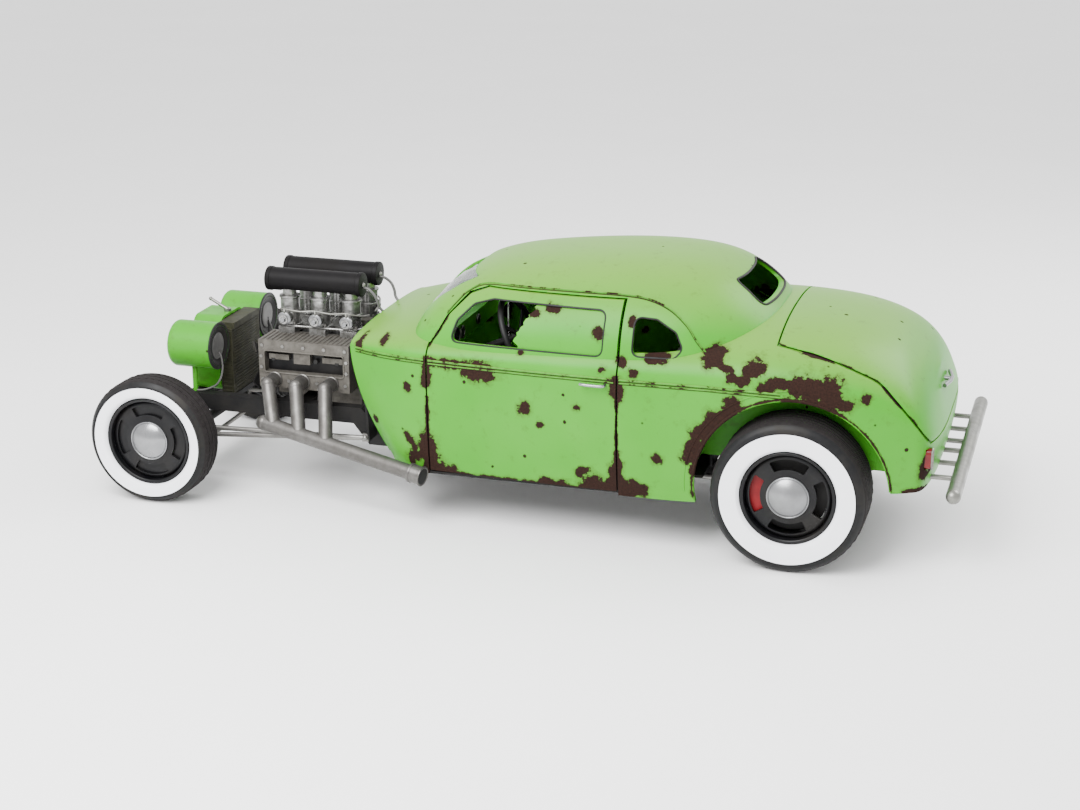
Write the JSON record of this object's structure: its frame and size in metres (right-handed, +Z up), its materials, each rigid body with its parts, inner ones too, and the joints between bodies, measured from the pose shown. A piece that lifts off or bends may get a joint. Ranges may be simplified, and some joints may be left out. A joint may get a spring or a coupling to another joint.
{
  "type": "hot rod coupe",
  "caption": "Hot rod coupe with an open V-engine ahead of the cowl, no front wings, a chopped roof, hinged doors and boot lid, steered front wheels and free rolling wide-band tyres.",
  "frame": {"origin": "middle of the overall box on the ground", "axes": "+X rearward, +Y to the car's right, +Z up"},
  "size_m": [4.1539, 1.474, 1.2761],
  "materials": {
    "black_metal": "worn satin black paint",
    "body_paint": "faded green paint with rust at edges and seams",
    "bare_steel": "dull bare steel",
    "engine_metal": "grey-brown cast metal",
    "aged_chrome": "dull aged chrome",
    "exhaust_metal": "heat-dulled pipe",
    "caliper_red": "red paint",
    "lamp_red": "red lens",
    "lamp_glass": "clear lens",
    "clear_glass": "dusty clear glass",
    "trim_cloth": "dark grey upholstery",
    "radiator_olive": "dark olive paint",
    "hard_rubber": "hard black rubber",
    "filter_black": "satin black",
    "tyre_rubber": "black rubber with a wide white band",
    "wheel_black": "gloss black"
  },
  "bodies": {
    "chassis": {"frame": "black_metal", "front_axle": "black_metal", "front_spring": "black_metal", "radius_rods": "bare_steel", "rear_axle": "black_metal", "rear_springs": "bare_steel", "calipers": "caliper_red", "wheel_wells": "body_paint", "engine": "engine_metal", "gearbox": "black_metal", "intake": "engine_metal", "air_filters": "filter_black", "exhaust": "exhaust_metal", "fan": "black_metal", "radiator": "radiator_olive", "grille_shell": "body_paint", "ornament": "aged_chrome", "headlamps": "body_paint", "headlamp_lenses": "lamp_glass", "firewall": "black_metal", "cowl": "body_paint", "floor": "black_metal", "roof": "body_paint", "rear_body": "body_paint", "windscreen": "clear_glass", "dash": "body_paint", "column": "black_metal", "seat": "trim_cloth", "bumper": "aged_chrome", "tail_lamps": "lamp_red", "fuel_tank": "black_metal"},
    "door_left": {"door_left": "body_paint", "pane_left": "body_paint"},
    "door_right": {"door_right": "body_paint", "pane_right": "body_paint"},
    "boot_lid": {"boot_lid": "body_paint"},
    "steering_wheel": {"steering_wheel": "hard_rubber"},
    "knuckle_left": {"knuckle_left": "black_metal"},
    "knuckle_right": {"knuckle_right": "black_metal"},
    "tie_rod": {"tie_rod": "black_metal"},
    "front_wheel_left": {"front_wheel_left": "wheel_black", "front_tyre_left": "tyre_rubber"},
    "front_wheel_right": {"front_wheel_right": "wheel_black", "front_tyre_right": "tyre_rubber"},
    "rear_wheel_left": {"rear_wheel_left": "wheel_black", "rear_tyre_left": "tyre_rubber"},
    "rear_wheel_right": {"rear_wheel_right": "wheel_black", "rear_tyre_right": "tyre_rubber"}
  },
  "joints": [
    {"name": "steer_left", "type": "hinge", "parent": "chassis", "child": "knuckle_left", "pos_m": [-1.768, -0.6, 0.309], "axis": [0, 0, 1], "range_deg": [-30, 30]},
    {"name": "steer_right", "type": "hinge", "parent": "chassis", "child": "knuckle_right", "pos_m": [-1.768, 0.6, 0.309], "axis": [0, 0, 1], "range_deg": [-30, 30]},
    {"name": "tie_rod_pivot", "type": "hinge", "parent": "knuckle_left", "child": "tie_rod", "pos_m": [-1.648, -0.6, 0.21], "axis": [0, 0, 1], "range_deg": [-30, 30]},
    {"name": "steering_wheel_turn", "type": "hinge", "parent": "chassis", "child": "steering_wheel", "pos_m": [-0.037, -0.33, 0.8695], "axis": [0.9121, 0, 0.4099], "range_deg": [-360, 360]},
    {"name": "door_left_hinge", "type": "hinge", "parent": "chassis", "child": "door_left", "pos_m": [-0.368, -0.64, 0.69], "axis": [0, 0, -1], "range_deg": [0, 65]},
    {"name": "door_right_hinge", "type": "hinge", "parent": "chassis", "child": "door_right", "pos_m": [-0.368, 0.64, 0.69], "axis": [0, 0, 1], "range_deg": [0, 65]},
    {"name": "boot_lid_hinge", "type": "hinge", "parent": "chassis", "child": "boot_lid", "pos_m": [1.233, 0, 1.059], "axis": [0, -1, 0], "range_deg": [0, 55]},
    {"name": "front_left_spin", "type": "hinge", "parent": "knuckle_left", "child": "front_wheel_left", "pos_m": [-1.768, -0.6445, 0.309], "axis": [0, 1, 0], "continuous": true},
    {"name": "front_right_spin", "type": "hinge", "parent": "knuckle_right", "child": "front_wheel_right", "pos_m": [-1.768, 0.6445, 0.309], "axis": [0, 1, 0], "continuous": true},
    {"name": "rear_left_spin", "type": "hinge", "parent": "chassis", "child": "rear_wheel_left", "pos_m": [1.332, -0.602, 0.35], "axis": [0, 1, 0], "continuous": true},
    {"name": "rear_right_spin", "type": "hinge", "parent": "chassis", "child": "rear_wheel_right", "pos_m": [1.332, 0.602, 0.35], "axis": [0, 1, 0], "continuous": true}
  ],
  "couplings": [
    {"joint": "steer_right", "follows": "steer_left", "ratio": 1},
    {"joint": "tie_rod_pivot", "follows": "steer_left", "ratio": -1},
    {"joint": "steering_wheel_turn", "follows": "steer_left", "ratio": 12}
  ]
}
